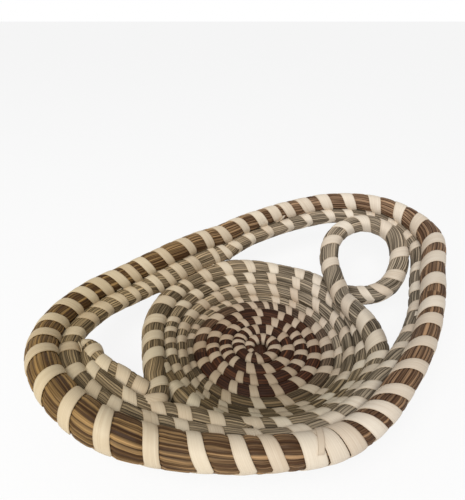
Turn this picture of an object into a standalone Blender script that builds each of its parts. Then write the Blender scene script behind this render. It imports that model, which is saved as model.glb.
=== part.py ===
"""Coiled sweetgrass tray: a flat spiral base, a sewn bowl, a looped edge row and a wide two-row rim."""

import math

import bmesh
import bpy
import numpy as np
from mathutils import Vector

MM = 0.001

# Bundles of grass: the thickness of each row and the room left between touching rows.
row_width = 9.2 * MM
edge_width = 14.0 * MM
inner_rim_width = 13.0 * MM
outer_rim_width = 14.0 * MM
handle_row_width = 11.6 * MM
coil_tip_width = 3.0 * MM
row_gap = 0.5 * MM
splice_gap = 0.3 * MM
grip_gap = 1.4 * MM

# Knot at the centre of the base.
knot_width = 6.4 * MM
knot_height = 7.2 * MM
flat_share = 0.1

# Palmetto strip that is wound round the outer rim row.
strip_width = 9.6 * MM
strip_thickness = 0.6 * MM
strip_gap = 0.35 * MM
lacing_pitch = 18.2 * MM
end_wrap_pitch = 10.4 * MM

# How far the rim stands off from the bowl at its widest corner.
rim_reach = 76.0 * MM

# Turns of the one long coil, counted from its tip. Seen from above it winds clockwise.
dark_turns = 4.4
edge_turns = 8.3
edge_start_angle = 230.0
edge_taper_turns = 0.12
points_per_turn = 24
points_per_rim = 96

# Turns past the start of the edge row, and the way to the row from the one below it, in degrees.
wall_leans = (
    (-3.3, 0.0),
    (-2.6, 2.0),
    (-2.05, 8.0),
    (-1.88, 58.0),
    (-1.35, 58.0),
    (-1.15, 40.0),
    (-0.85, 40.0),
    (-0.35, 37.0),
    (0.0, 36.0),
    (0.14, 28.0),
    (0.3, 32.0),
    (0.45, -6.0),
    (0.5, -4.0),
    (0.58, 25.0),
    (0.65, 38.0),
    (0.8, 45.0),
    (1.2, 45.0),
)

# Angle round the bowl, lean of the inner rim row off the bowl's edge, share of the rim's reach,
# lean of the outer rim row off the inner one, and shares of the two rows' thickness.
rim_shares = (
    (0, 21, 0.24, 70, 1.00, 1.03),
    (15, 19, 0.46, 69, 0.99, 1.10),
    (30, 16, 0.86, 65, 0.98, 1.07),
    (45, 20, 1.00, 64, 0.97, 0.90),
    (60, 24, 0.82, 66, 0.96, 0.85),
    (75, 27, 0.53, 70, 0.98, 0.88),
    (90, 32, 0.26, 70, 0.98, 0.93),
    (105, 48, 0.05, 67, 1.00, 0.98),
    (120, 62, 0.00, 66, 1.02, 0.98),
    (135, 72, 0.00, 65, 1.05, 0.97),
    (150, 52, 0.01, 60, 1.08, 0.98),
    (165, 31, 0.12, 48, 1.00, 0.98),
    (180, 19, 0.32, 45, 0.96, 0.96),
    (195, 17, 0.45, 40, 0.93, 0.98),
    (210, 21, 0.44, 37, 0.95, 1.10),
    (225, 20, 0.28, 32, 0.98, 1.26),
    (240, 18, 0.07, 31, 1.00, 1.23),
    (255, 25, 0.00, 36, 1.00, 1.18),
    (270, 32, 0.00, 40, 1.00, 1.11),
    (285, 40, 0.00, 34, 1.00, 1.05),
    (300, 53, 0.00, 33, 1.00, 1.00),
    (315, 61, 0.00, 38, 1.00, 0.96),
    (330, 47, 0.01, 49, 1.00, 0.96),
    (345, 27, 0.08, 60, 1.00, 0.97),
)
rim_seam_share = 0.2

# Route of the ring: shares of the room between the bowl's edge and the inner rim row,
# outwards, to the right and up, and a lift as a share of the edge row's thickness.
leave_angle = 52.0
ring_angle = 40.0
ring_shares = (
    (0.01, 0.07, 0.00, -0.12),
    (0.07, 0.28, 0.02, 0.0),
    (0.17, 0.41, 0.04, 0.0),
    (0.32, 0.47, 0.06, 0.0),
    (0.55, 0.43, 0.07, 0.0),
    (0.81, 0.28, 0.07, 0.0),
    (0.97, 0.08, 0.09, 0.0),
    (0.95, -0.12, 0.14, 0.0),
    (0.84, -0.28, 0.18, 0.0),
    (0.62, -0.37, 0.21, 0.0),
    (0.35, -0.33, 0.24, 0.0),
    (0.17, -0.23, 0.23, 0.02),
    (0.01, -0.08, 0.08, 0.85),
    (-0.13, 0.10, 0.05, 1.04),
)
ring_points_per_span = 4
return_leans = (
    (22.0, 101.0),
    (10.0, 96.0),
    (-1.0, 78.0),
    (-12.0, 60.0),
)
rejoin_angle = -22.0

# The edge row's tail follows the inner rim row to the left grip, where a short row lies inside it.
tail_angle = 262.0
tail_taper_angle = 220.0
tail_end_angle = 201.0
tail_tip_share = 0.3
handle_row_start_angle = 193.0
handle_row_end_angle = 231.0
handle_row_taper_angle = 202.0
handle_row_tip_share = 0.5

# Where the outer rim is wrapped densely, over its joint.
end_wrap_start_angle = 272.0
end_wrap_end_angle = 294.0
points_per_curl = 10


def smooth_step(share):
    """Ease from 0 to 1 with level ends."""
    share = min(max(share, 0.0), 1.0)
    return share * share * (3.0 - 2.0 * share)


def table_value(table, place):
    """Read the second column of a table, eased between its lines."""
    if place <= table[0][0]:
        return table[0][1]
    for low, high in zip(table, table[1:]):
        if place <= high[0]:
            share = smooth_step((place - low[0]) / (high[0] - low[0]))
            return low[1] + (high[1] - low[1]) * share
    return table[-1][1]


def round_value(table, angle, column):
    """Read a column of a table that closes on itself after 360 degrees, as a smooth curve."""
    count = len(table)
    angle %= 360.0
    line = max(index for index in range(count) if table[index][0] <= angle)
    before, low, high, after = (table[(line + shift) % count] for shift in (-1, 0, 1, 2))
    span = (high[0] - low[0]) % 360.0
    share = (angle - low[0]) / span
    slope_in = 0.5 * (high[column] - before[column])
    slope_out = 0.5 * (after[column] - low[column])
    cube, square = share ** 3, share ** 2
    value = (2.0 * cube - 3.0 * square + 1.0) * low[column]
    value += (cube - 2.0 * square + share) * slope_in
    value += (3.0 * square - 2.0 * cube) * high[column]
    value += (cube - square) * slope_out
    return value


def polar(angle, radius, height):
    """Point at an angle round the centre of the base."""
    turn = math.radians(angle)
    return Vector((radius * math.cos(turn), radius * math.sin(turn), height))


def angle_at(turn):
    return edge_start_angle - 360.0 * (turn - edge_turns)


def turn_at(angle):
    """Turn of the edge row, in its first round, at an angle."""
    return edge_turns + ((edge_start_angle - angle) % 360.0) / 360.0


def coil_width(turn):
    """Thickness of the one long coil, which tapers from its tip and swells at the edge row."""
    grown = smooth_step(turn)
    swollen = smooth_step((turn - edge_turns) / edge_taper_turns)
    width = coil_tip_width + (row_width - coil_tip_width) * grown
    return width + (edge_width - row_width) * swollen


def coil_section(turn):
    """Radius and height of the coil's centre, each row laid against the one a turn before."""
    width = coil_width(turn)
    if turn < 1.0:
        inside = knot_width / 2.0 + row_gap + (coil_tip_width + row_gap) * turn
        return inside + width / 2.0, width * (0.5 - flat_share)
    radius, height = coil_section(turn - 1.0)
    spacing = (width + coil_width(turn - 1.0)) / 2.0 + row_gap
    if turn - edge_turns <= wall_leans[0][0]:
        return radius + spacing, width * (0.5 - flat_share)
    lean = math.radians(table_value(wall_leans, turn - edge_turns))
    return radius + spacing * math.cos(lean), height + spacing * math.sin(lean)


def coil_point(turn):
    radius, height = coil_section(turn)
    return polar(angle_at(turn), radius, height)


def coil_way(turn):
    """Direction of the coil, square to the faces where two lengths of it meet."""
    step = edge_taper_turns / points_per_turn
    return (coil_point(turn + step) - coil_point(turn - step)).normalized()


def spliced_start(turn):
    """Two points that start a length of coil square to its splice, half the splice's gap on."""
    way = coil_way(turn)
    point = coil_point(turn) + way * (splice_gap / 2.0)
    return [point, point + way * (row_width / 3.0)]


def spliced_end(turn):
    """Two points that end a length of coil square to its splice."""
    way = coil_way(turn)
    point = coil_point(turn) - way * (splice_gap / 2.0)
    return [point - way * (row_width / 3.0), point]


def bowl_edge(angle):
    """Radius and height of the bowl's edge as one closed line, smoothed where the coil steps out."""
    turn = turn_at(angle)
    radius, height = coil_section(turn)
    share = (turn - edge_turns) / rim_seam_share
    if share < 1.0:
        outer_radius, outer_height = coil_section(turn + 1.0)
        radius = outer_radius + (radius - outer_radius) * smooth_step(share)
        height = outer_height + (height - outer_height) * smooth_step(share)
    return radius, height


def inner_width(angle):
    return inner_rim_width * round_value(rim_shares, angle, 4)


def outer_width(angle):
    return outer_rim_width * round_value(rim_shares, angle, 5)


def rim_lean(angle):
    """Direction from the row inside to the inner rim row, as a share out and a share up."""
    lean = math.radians(round_value(rim_shares, angle, 1))
    return math.cos(lean), math.sin(lean)


def inner_rim_section(angle):
    """Radius and height of the inner rim row, touching the bowl's edge or standing off from it."""
    out, up = rim_lean(angle)
    reach = max(round_value(rim_shares, angle, 2), 0.0) * rim_reach
    spacing = (edge_width + inner_width(angle)) / 2.0 + row_gap + reach
    radius, height = bowl_edge(angle)
    return radius + spacing * out, height + spacing * up


def inner_rim_point(angle):
    return polar(angle, *inner_rim_section(angle))


def strip_reach(width, clearance):
    """Distance from a row's centre to the outside of a strip that is wound round it."""
    return (width / 2.0 + clearance + strip_thickness) / math.cos(math.pi / points_per_curl)


def beside_inner_rim(angle, spacing, out, up):
    """Point square off the inner rim row, at a spacing outwards and upwards."""
    step = 360.0 / points_per_rim
    along = inner_rim_point(angle + step) - inner_rim_point(angle - step)
    outward = Vector((along.y, -along.x, 0.0)).normalized()
    return inner_rim_point(angle) + (outward * out + Vector((0.0, 0.0, up))) * spacing


def outer_rim_point(angle):
    """Centre of the outer rim row, off the inner row with room for the strip between."""
    lean = math.radians(round_value(rim_shares, angle, 3))
    spacing = strip_reach(outer_width(angle), strip_gap) + strip_gap + inner_width(angle) / 2.0
    return beside_inner_rim(angle, spacing, math.cos(lean), math.sin(lean))


def smooth_route(points, count):
    """Smooth curve through points, read at an even number of places in each span."""
    route = []
    for index in range(1, len(points) - 2):
        before, low, high, after = points[index - 1:index + 3]
        first = (low - before).length ** 0.5
        middle = (high - low).length ** 0.5
        last = (after - high).length ** 0.5
        slope_in = (low - before) / first - (high - before) / (first + middle)
        slope_in = (slope_in + (high - low) / middle) * middle
        slope_out = (high - low) / middle - (after - low) / (middle + last)
        slope_out = (slope_out + (after - high) / last) * middle
        for place in range(count):
            share = place / count
            cube, square = share ** 3, share ** 2
            point = (2.0 * cube - 3.0 * square + 1.0) * low
            point += (cube - 2.0 * square + share) * slope_in
            point += (3.0 * square - 2.0 * cube) * high
            point += (cube - square) * slope_out
            route.append(point)
    route.append(points[-2])
    return route


def ring_knots():
    """Points of the ring, in the room between the bowl's edge and the inner rim row."""
    base = polar(ring_angle, *bowl_edge(ring_angle))
    rim = inner_rim_point(ring_angle)
    touch = (edge_width + inner_width(ring_angle)) / 2.0 + row_gap
    across = (rim - base) - (rim - base).normalized() * touch
    right = Vector((across.y, -across.x, 0.0)).normalized() * across.length
    knots = []
    for out, side, up, lift in ring_shares:
        rise = up * across.length + lift * edge_width
        knots.append(base + across * out + right * side + Vector((0.0, 0.0, rise)))
    return knots


def return_knots():
    """Points where the strand comes down from the ring onto the bowl's wall."""
    knots = []
    for angle, lean in return_leans:
        turn = turn_at(angle)
        radius, height = coil_section(turn - 1.0)
        spacing = (edge_width + row_width) / 2.0 + row_gap
        way = math.radians(lean)
        knots.append(polar(angle, radius + spacing * math.cos(way), height + spacing * math.sin(way)))
    return knots


def tail_width(angle):
    """The tail of the edge row thins out towards the left grip."""
    share = smooth_step((tail_taper_angle - angle) / (tail_taper_angle - tail_end_angle))
    return edge_width * (1.0 - (1.0 - tail_tip_share) * share)


def tail_point(angle):
    """The tail lies along the inside of the inner rim row."""
    out, up = rim_lean(angle)
    spacing = (tail_width(angle) + inner_width(angle)) / 2.0 + row_gap
    return beside_inner_rim(angle, -spacing, out, up)


def edge_row_route():
    """Route and thickness of the edge row: round the bowl, through the ring, round again and off."""
    step = 1.0 / (2.0 * points_per_turn)
    points = spliced_start(edge_turns)
    widths = [row_width, row_width]
    turn = edge_turns + step
    while angle_at(turn) > leave_angle:
        points.append(coil_point(turn))
        widths.append(coil_width(turn))
        turn += step
    rejoin = turn_at(rejoin_angle)
    knots = points[-2:] + ring_knots() + return_knots()
    knots += [coil_point(rejoin), coil_point(rejoin + step)]
    ring = smooth_route(knots, ring_points_per_span)[1:]
    points += ring
    widths += [edge_width] * len(ring)
    turn = rejoin + step
    while angle_at(turn) + 360.0 > tail_angle:
        points.append(coil_point(turn))
        widths.append(coil_width(turn))
        turn += step
    angle = tail_angle
    while angle > tail_end_angle:
        points.append(tail_point(angle))
        widths.append(tail_width(angle))
        angle -= 180.0 * step
    return points, widths


def handle_row_width_at(angle):
    span = handle_row_taper_angle - handle_row_start_angle
    share = smooth_step((handle_row_taper_angle - angle) / span)
    return handle_row_width * (1.0 - (1.0 - handle_row_tip_share) * share)


def handle_row_route():
    """A short row inside the tail, from the left grip down to the bowl's side."""
    points, widths = [], []
    for index in range(points_per_turn + 1):
        angle = handle_row_start_angle
        angle += (handle_row_end_angle - handle_row_start_angle) * index / points_per_turn
        width = handle_row_width_at(angle)
        out, up = rim_lean(angle)
        span = tail_end_angle - handle_row_start_angle
        beside_tail = smooth_step((angle - handle_row_start_angle) / span)
        tail = (tail_width(angle) + grip_gap) * beside_tail
        spacing = (inner_width(angle) + width) / 2.0 + row_gap + tail
        points.append(beside_inner_rim(angle, -spacing, out, up))
        widths.append(width)
    return points, widths


def least_gap(points, widths, apart):
    """Least room that a tube leaves to itself, between points that lie apart along its length."""
    places = np.array([tuple(point) for point in points])
    halves = np.array(widths) / 2.0
    steps = np.linalg.norm(np.diff(places, axis=0), axis=1)
    along = np.concatenate(([0.0], np.cumsum(steps)))
    room = np.linalg.norm(places[:, None] - places[None, :], axis=2)
    room -= halves[:, None] + halves[None, :]
    room[np.abs(along[:, None] - along[None, :]) < apart] = np.inf
    return room.min()


def material(name, colour, roughness):
    look = bpy.data.materials.new(name)
    look.use_nodes = True
    shader = look.node_tree.nodes["Principled BSDF"]
    shader.inputs["Base Color"].default_value = (*colour, 1.0)
    shader.inputs["Roughness"].default_value = roughness
    shader.inputs["Metallic"].default_value = 0.0
    return look


def collection(name):
    group = bpy.data.collections.new(name)
    bpy.context.scene.collection.children.link(group)
    return group


def bundle(name, group, look, points, widths, resolution, closed):
    """A bundle of grass: a round tube along a route."""
    curve = bpy.data.curves.new(name, "CURVE")
    curve.dimensions = "3D"
    curve.twist_mode = "Z_UP"
    curve.bevel_depth = max(widths) / 2.0
    curve.bevel_resolution = resolution
    curve.use_fill_caps = True
    spline = curve.splines.new("POLY")
    spline.points.add(len(points) - 1)
    for knot, point, width in zip(spline.points, points, widths):
        knot.co = (*point, 1.0)
        knot.radius = width / max(widths)
    spline.use_cyclic_u = closed
    spline.use_smooth = True
    curve.materials.append(look)
    row = bpy.data.objects.new(name, curve)
    group.objects.link(row)
    return row


def as_mesh(row, group):
    """Turn a tube into one closed mesh that can be cut."""
    bpy.context.view_layer.update()
    evaluated = row.evaluated_get(bpy.context.evaluated_depsgraph_get())
    mesh = bpy.data.meshes.new_from_object(evaluated)
    shape = bmesh.new()
    shape.from_mesh(mesh)
    bmesh.ops.remove_doubles(shape, verts=shape.verts, dist=splice_gap / points_per_turn)
    shape.to_mesh(mesh)
    shape.free()
    name = row.name
    place = row.matrix_world.copy()
    bpy.data.objects.remove(row)
    solid = bpy.data.objects.new(name, mesh)
    solid.matrix_world = place
    group.objects.link(solid)
    return solid


def cut_flat(solid, ground):
    cut = solid.modifiers.new("flat_underside", "BOOLEAN")
    cut.operation = "DIFFERENCE"
    cut.solver = "EXACT"
    cut.object = ground


def make_ground(group):
    """A block below the base, which cuts everything off level with the ground."""
    size = 2.0 * coil_section(edge_turns)[0]
    shape = bmesh.new()
    bmesh.ops.create_cube(shape, size=1.0)
    mesh = bpy.data.meshes.new("ground_cutter")
    shape.to_mesh(mesh)
    shape.free()
    block = bpy.data.objects.new("ground_cutter", mesh)
    block.scale = (size, size, row_width)
    block.location = (0.0, 0.0, -row_width / 2.0)
    block.display_type = "WIRE"
    block.hide_render = True
    group.objects.link(block)
    return block


def make_knot(group, look, ground):
    """The tight knot of grass that the coil starts from."""
    shape = bmesh.new()
    bmesh.ops.create_uvsphere(shape, u_segments=points_per_curl, v_segments=points_per_curl, radius=1.0)
    mesh = bpy.data.meshes.new("start_knot")
    shape.to_mesh(mesh)
    shape.free()
    mesh.materials.append(look)
    mesh.shade_smooth()
    knot = bpy.data.objects.new("start_knot", mesh)
    knot.scale = (knot_width / 2.0, knot_width / 2.0, knot_height / 2.0)
    knot.location = (0.0, 0.0, knot_height * (0.5 - flat_share))
    group.objects.link(knot)
    cut_flat(knot, ground)
    return knot


def coil_part(first_turn, last_turn):
    """Route and thickness of a length of the coil, on angles that all the rows share."""
    first = math.floor(first_turn * points_per_turn + 1.0)
    last = math.ceil(last_turn * points_per_turn - 1.0)
    turns = [index / points_per_turn for index in range(first, last + 1)]
    points = [coil_point(turn) for turn in turns]
    widths = [coil_width(turn) for turn in turns]
    if first_turn > 0.0:
        points = spliced_start(first_turn) + points
        widths = [coil_width(first_turn)] * 2 + widths
    else:
        points = [coil_point(first_turn)] + points
        widths = [coil_width(first_turn)] + widths
    return points + spliced_end(last_turn), widths + [coil_width(last_turn)] * 2


def make_coil(group, looks, ground):
    """The base and the wall: one coil in a dark and a light grass, spliced end to end."""
    parts = (
        ("base_coil", looks[0], 0.0, dark_turns),
        ("wall_coil", looks[1], dark_turns, edge_turns),
    )
    for name, look, first_turn, last_turn in parts:
        points, widths = coil_part(first_turn, last_turn)
        gap = least_gap(points, widths, 3.0 * row_width)
        print(f"{name}: least gap to itself {gap / MM:.2f} mm")
        row = as_mesh(bundle(name, group, look, points, widths, 1, False), group)
        cut_flat(row, ground)


def make_edge_row(group, look):
    points, widths = edge_row_route()
    gap = least_gap(points, widths, 3.0 * edge_width)
    print(f"bowl_edge_row: least gap to itself {gap / MM:.2f} mm")
    bundle("bowl_edge_row", group, look, points, widths, 2, False)


def make_handle_row(group, look):
    points, widths = handle_row_route()
    bundle("handle_row", group, look, points, widths, 2, False)


def rim_angles():
    return [360.0 * index / points_per_rim for index in range(points_per_rim)]


def make_rim_rows(group, looks):
    """The two rows of the rim, each closed into a loop."""
    angles = rim_angles()
    inner = [inner_rim_point(angle) for angle in angles]
    outer = [outer_rim_point(angle) for angle in angles]
    inner_widths = [inner_width(angle) for angle in angles]
    outer_widths = [outer_width(angle) for angle in angles]
    bundle("inner_rim_row", group, looks[0], inner, inner_widths, 2, True)
    bundle("outer_rim_row", group, looks[1], outer, outer_widths, 2, True)


def rim_places():
    """The outer rim row's corners, with their distance along the row and their thickness."""
    angles = rim_angles() + [360.0]
    points = [outer_rim_point(angle) for angle in angles]
    steps = [(high - low).length for low, high in zip(points, points[1:])]
    along = [sum(steps[:index]) for index in range(len(points))]
    return angles, points, along


def wind_strip(name, group, look, places, start_angle, end_angle, pitch):
    """A flat palmetto strip wound round the outer rim row, inwards below and outwards above."""
    angles, points, along = places
    whole = along[-1]
    start = np.interp(start_angle, angles, along)
    length = (np.interp(end_angle, angles, along) - start) % whole
    curls = max(math.floor((length - strip_width) / pitch), 1)
    rings = curls * points_per_curl
    xyz = np.array([tuple(point) for point in points])
    shape = bmesh.new()
    edge = None
    middles = []
    for ring in range(rings + 1):
        middle = start + strip_width / 2.0 + (length - strip_width) * ring / rings
        turn = math.tau * ring / points_per_curl
        corners = []
        for shift in (-strip_width / 2.0, strip_width / 2.0):
            place = (middle + shift) % whole
            ahead = (place + strip_width / 2.0) % whole
            behind = (place - strip_width / 2.0) % whole
            centre = Vector([np.interp(place, along, xyz[:, axis]) for axis in range(3)])
            way = Vector([np.interp(ahead, along, xyz[:, axis]) for axis in range(3)])
            way -= Vector([np.interp(behind, along, xyz[:, axis]) for axis in range(3)])
            way.normalize()
            outward = Vector((way.y, -way.x, 0.0)).normalized()
            upward = outward.cross(way).normalized()
            width = outer_width(float(np.interp(place, along, angles)))
            radius = (width / 2.0 + strip_gap) / math.cos(math.pi / points_per_curl)
            corners.append(centre + radius * (upward * math.sin(turn) - outward * math.cos(turn)))
        if edge is None:
            edge = shape.edges.new([shape.verts.new(corner) for corner in corners])
        else:
            made = bmesh.ops.extrude_edge_only(shape, edges=[edge])["geom"]
            ends = [item for item in made if isinstance(item, bmesh.types.BMVert)]
            edge = next(item for item in made if isinstance(item, bmesh.types.BMEdge))
            low, high = edge.verts
            if (low.co - middles[-1][0]).length > (low.co - middles[-1][1]).length:
                low, high = high, low
            low.co, high.co = corners
        middles.append(corners)
    mesh = bpy.data.meshes.new(name)
    shape.to_mesh(mesh)
    shape.free()
    mesh.materials.append(look)
    strip = bpy.data.objects.new(name, mesh)
    group.objects.link(strip)
    solid = strip.modifiers.new("thickness", "SOLIDIFY")
    solid.thickness = strip_thickness
    solid.offset = 1.0
    gap = (length - strip_width) / curls - strip_width
    print(f"{name}: {curls} turns, least gap to itself {gap / MM:.2f} mm")
    return strip


def main():
    for old in list(bpy.data.objects):
        bpy.data.objects.remove(old)
    basket = collection("sweetgrass_basket")
    cutters = collection("cutters")
    pine = material("longleaf_pine_needle", (0.055, 0.022, 0.016), 0.75)
    grass = material("sweetgrass", (0.26, 0.22, 0.14), 0.7)
    bulrush = material("bulrush", (0.20, 0.10, 0.045), 0.65)
    palmetto = material("palmetto", (0.68, 0.57, 0.40), 0.6)
    ground = make_ground(cutters)
    make_knot(basket, pine, ground)
    make_coil(basket, (pine, grass), ground)
    make_edge_row(basket, grass)
    make_handle_row(basket, grass)
    make_rim_rows(basket, (grass, bulrush))
    places = rim_places()
    joint = (end_wrap_start_angle, end_wrap_end_angle)
    wind_strip("rim_lacing", basket, palmetto, places, joint[1], joint[0], lacing_pitch)
    wind_strip("rim_end_wrap", basket, palmetto, places, joint[0], joint[1], end_wrap_pitch)


main()
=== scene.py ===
"""Coiled sweetgrass tray: a flat spiral base, a sewn bowl, a looped edge row and a laced two-row rim."""

import math

import bmesh
import bpy
import numpy as np
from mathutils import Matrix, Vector


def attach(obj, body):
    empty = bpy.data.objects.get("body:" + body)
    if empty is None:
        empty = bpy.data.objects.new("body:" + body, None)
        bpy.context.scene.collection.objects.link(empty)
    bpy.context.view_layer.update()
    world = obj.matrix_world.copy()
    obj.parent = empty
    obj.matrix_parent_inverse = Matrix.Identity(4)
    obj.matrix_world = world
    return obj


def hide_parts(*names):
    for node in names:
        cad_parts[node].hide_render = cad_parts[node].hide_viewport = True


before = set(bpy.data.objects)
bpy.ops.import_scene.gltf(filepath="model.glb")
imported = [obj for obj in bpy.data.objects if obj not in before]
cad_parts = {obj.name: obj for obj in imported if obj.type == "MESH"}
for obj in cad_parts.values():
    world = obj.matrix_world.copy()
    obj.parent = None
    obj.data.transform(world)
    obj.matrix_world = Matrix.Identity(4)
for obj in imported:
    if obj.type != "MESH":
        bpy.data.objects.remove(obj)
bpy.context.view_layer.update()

bl_info = {
    "name": "Coiled Sweetgrass Tray",
    "version": (1, 0, 0),
    "blender": (4, 5, 0),
    "location": "3D View > Sidebar > Tray",
    "description": "Builds a sewn sweetgrass tray, row by row, around its packed frame",
    "category": "Object",
}

MM = 0.001

# Sizes of the rows, as the frame has them.
row_width = 9.2 * MM
edge_width = 14.0 * MM
inner_rim_width = 13.0 * MM
outer_rim_width = 14.0 * MM
handle_row_width = 11.6 * MM
coil_tip_width = 3.0 * MM
row_gap = 0.5 * MM
grip_gap = 1.4 * MM
knot_width = 6.4 * MM
knot_height = 7.2 * MM
flat_share = 0.1
lacing_thickness = 0.6 * MM
lacing_gap = 0.35 * MM
lacing_corners = 10
rim_reach = 76.0 * MM
dark_turns = 4.4
# Turns at which the base and the wall coil end as they look, each running on a little into the next.
base_end_turn = 4.42
wall_end_turn = 8.37
# Turns of the wall coil and how much it swells there, in mm, to fill the corner by the edge row's start.
wall_swells = ((8.225, 0.0), (8.262, 2.6), (8.28, 5.8), (8.293, 7.6), (8.312, 4.2), (8.332, 0.0))
edge_turns = 8.3
edge_start_angle = 230.0
edge_taper_turns = 0.12
points_per_rim = 96
# Turns past the start of the edge row, and the way to the row from the one below it, in degrees.
wall_leans = (
    (-3.3, 0.0),
    (-2.6, 2.0),
    (-2.05, 8.0),
    (-1.88, 58.0),
    (-1.35, 58.0),
    (-1.15, 40.0),
    (-0.85, 40.0),
    (-0.35, 37.0),
    (0.0, 36.0),
    (0.14, 28.0),
    (0.3, 32.0),
    (0.45, -6.0),
    (0.5, -4.0),
    (0.58, 25.0),
    (0.65, 38.0),
    (0.8, 45.0),
    (1.2, 45.0),
)

# Angle round the bowl, lean of the inner rim row off the bowl's edge, share of the rim's reach,
# lean of the outer rim row off the inner one, and shares of the two rows' thickness.
rim_shares = (
    (0, 21, 0.24, 70, 1.00, 1.03),
    (15, 19, 0.46, 69, 0.99, 1.10),
    (30, 16, 0.86, 65, 0.98, 1.07),
    (45, 20, 1.00, 64, 0.97, 0.90),
    (60, 24, 0.82, 66, 0.96, 0.85),
    (75, 27, 0.53, 70, 0.98, 0.88),
    (90, 32, 0.26, 70, 0.98, 0.93),
    (105, 48, 0.05, 67, 1.00, 0.98),
    (120, 62, 0.00, 66, 1.02, 0.98),
    (135, 72, 0.00, 65, 1.05, 0.97),
    (150, 52, 0.01, 60, 1.08, 0.98),
    (165, 31, 0.12, 48, 1.00, 0.98),
    (180, 19, 0.32, 45, 0.96, 0.96),
    (195, 17, 0.45, 40, 0.93, 0.98),
    (210, 21, 0.44, 37, 0.95, 1.10),
    (225, 20, 0.28, 32, 0.98, 1.26),
    (240, 18, 0.07, 31, 1.00, 1.23),
    (255, 25, 0.00, 36, 1.00, 1.18),
    (270, 32, 0.00, 40, 1.00, 1.11),
    (285, 40, 0.00, 34, 1.00, 1.05),
    (300, 53, 0.00, 33, 1.00, 1.00),
    (315, 61, 0.00, 38, 1.00, 0.96),
    (330, 47, 0.01, 49, 1.00, 0.96),
    (345, 27, 0.08, 60, 1.00, 0.97),
)
lean_column, reach_column, outer_lean_column, inner_column, outer_column = range(1, 6)
rim_seam_share = 0.2

# Route of the ring: shares of the room between the bowl's edge and the inner rim row,
# outwards, to the right and up, and a lift as a share of the edge row's thickness.
leave_angle = 52.0
ring_angle = 40.0
ring_shares = (
    (0.01, 0.07, 0.00, -0.12),
    (0.07, 0.28, 0.02, 0.0),
    (0.17, 0.41, 0.04, 0.0),
    (0.32, 0.47, 0.06, 0.0),
    (0.55, 0.43, 0.07, 0.0),
    (0.81, 0.28, 0.07, 0.0),
    (0.97, 0.08, 0.09, 0.0),
    (0.95, -0.12, 0.14, 0.0),
    (0.84, -0.28, 0.18, 0.0),
    (0.62, -0.37, 0.21, 0.0),
    (0.35, -0.33, 0.24, 0.0),
    (0.17, -0.23, 0.23, 0.02),
    (0.01, -0.08, 0.08, 0.85),
    (-0.13, 0.10, 0.05, 1.04),
)
return_leans = (
    (22.0, 101.0),
    (10.0, 96.0),
    (-1.0, 78.0),
    (-12.0, 60.0),
)
rejoin_angle = -22.0

# The edge row's tail follows the inner rim row to the left grip, where a short row lies inside it.
tail_angle = 262.0
tail_taper_angle = 220.0
tail_end_angle = 201.0
tail_tip_share = 0.3
handle_row_start_angle = 193.0
handle_row_taper_angle = 202.0

# How the ends of these rows look at the left grip: the tail is pressed in between, and the short row
# arches over it and tucks under the rim.
tail_body_share = 0.68
tail_press = 1.2 * MM
tail_press_span = 12.0
tail_tuck_angle = 197.0
tail_drop = edge_width / 4.0
# Angles and the tail's thickness there as it looks, as a share of the edge row's.
tail_looks = ((201.0, 0.5), (207.0, 0.62), (214.0, 0.74), (228.0, 0.78), (242.0, 1.0))
# The short row's last points, and the first points of the edge row, which curls in over the tail, in mm.
grip_hook = ((-110.6, -36.4, 39.2), (-115.6, -34.2, 37.8), (-120.0, -34.6, 34.5))
edge_curl = (
    (-72.0, -76.0, 31.5),
    (-65.6, -71.5, 30.6),
    (-65.6, -60.0, 27.6),
    (-69.0, -47.0, 25.6),
    (-72.3, -34.0, 24.8),
)
curl_share = 0.93
hook_lead = 8
grip_start_angle = 227.5
grip_thinning = 0.1
grip_press = 2.4 * MM

# How finely the rows are followed: points in a turn of the coil, turns between two points of the edge
# row and degrees between two of its tail, points in each span between those, and points round the rim.
samples_per_turn = 96
edge_step = 1.0 / 48.0
tail_step = 3.75
points_per_span = 5
points_per_rim_row = 3 * points_per_rim
least_length = 0.001

# What each point of a row holds: its place, the way on, the way to its neighbour, its thickness and how
# far its stitches bite into what lies on either side.
place_columns = slice(0, 3)
way_columns = slice(3, 6)
right_columns = slice(6, 9)
width_column = 9
bite_columns = slice(10, 12)

# How each row is pressed by its neighbours: how far it swells towards them, how square its section is,
# and how dark the painted shade in its grooves is on the side of its neighbour and on the other.
row_sections = {
    "coil": (0.5 * MM, 2.6, (1.0, 1.0)),
    "edge": (0.45 * MM, 2.25, (0.3, 0.3)),
    "short": (0.6 * MM, 2.25, (0.0, 0.8)),
    "inner": (1.3 * MM, 2.25, (0.4, 0.9)),
    "outer": (1.3 * MM, 2.25, (0.9, 0.0)),
}
# How far round a row the painted shade of its grooves reaches, in radians.
groove_shade_reach = 0.42
# Rooms between two rows: up to the first they lie together, and over the second they part.
together_room = 1.5 * MM
parting_room = 6.0 * MM
# A stitch bites into the neighbour by a share of its thickness, less where the room is wider.
bite_share = 0.16
bite_room = 2.0 * MM

# The blades of a bundle: how they are drawn, how far they wander and how their strands stand out.
grass_step = 1.6 * MM
columns_per_strand = 3
twist_length = 900.0 * MM
wander_length = 90.0 * MM
wave_shares = (1.0, 1.7, 2.9)
wave_spread = (0.7, 1.3)
crease_drift = 0.14
swell_waves = 1.6
swell_share = 0.022
crown_reach = 1.012
crease_share = 0.425
loose_reach = 1.035
pinch_share = 0.075
pinch_fade = 3.0 * MM
grass_floor = 0.7 * MM
floor_ease = 0.3 * MM
map_length = 10.0 * MM
merge_distance = 0.002 * MM

# The knot at the centre: faces round and up it, the ridges of its blades and how its foot spreads.
knot_sides, knot_rings = 48, 16
knot_ridges = 9.0
knot_slant = 5.0
ridge_share = 0.07
foot_spread = 1.5
knot_fibre = 0.8 * MM

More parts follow.
